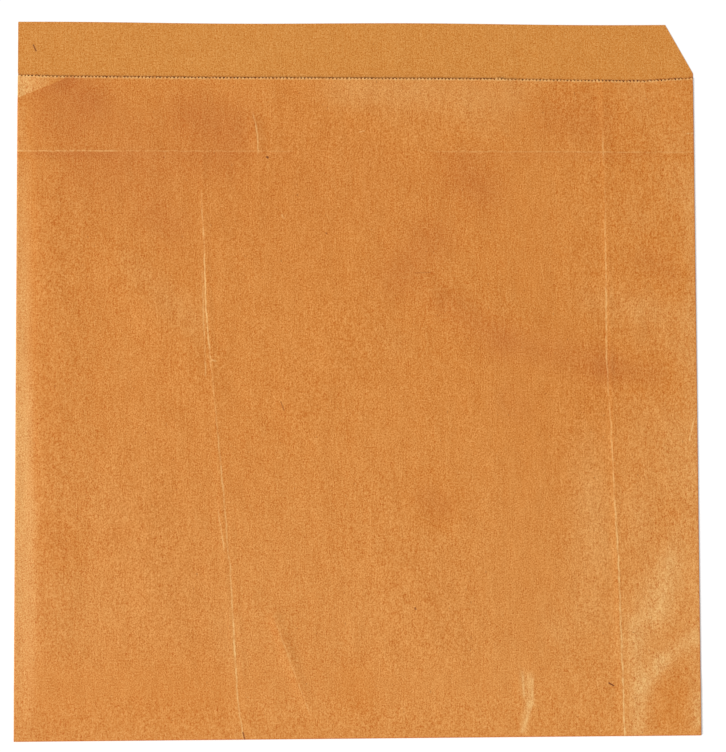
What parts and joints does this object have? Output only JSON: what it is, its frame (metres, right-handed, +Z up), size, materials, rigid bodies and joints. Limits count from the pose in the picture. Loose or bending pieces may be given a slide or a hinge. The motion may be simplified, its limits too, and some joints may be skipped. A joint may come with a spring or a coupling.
{
  "type": "flat paper bag",
  "caption": "Flat kraft paper bag for takeaway food: two joined panels, open at a saw-cut mouth, with a taller back panel as a lip to open it by.",
  "frame": {"origin": "centre of the bag's footprint, on the surface it lies on", "axes": "+Z up from the surface, +Y along the bag towards its mouth and lip, +X across it towards the seam side"},
  "size_m": [0.254, 0.2668, 0.0021],
  "materials": {
    "kraft_paper": "matt brown kraft paper with a faint machine gloss and fine lengthwise fibre streaks"
  },
  "bodies": {
    "root": {"paper_bag": "kraft_paper"}
  },
  "joints": []
}
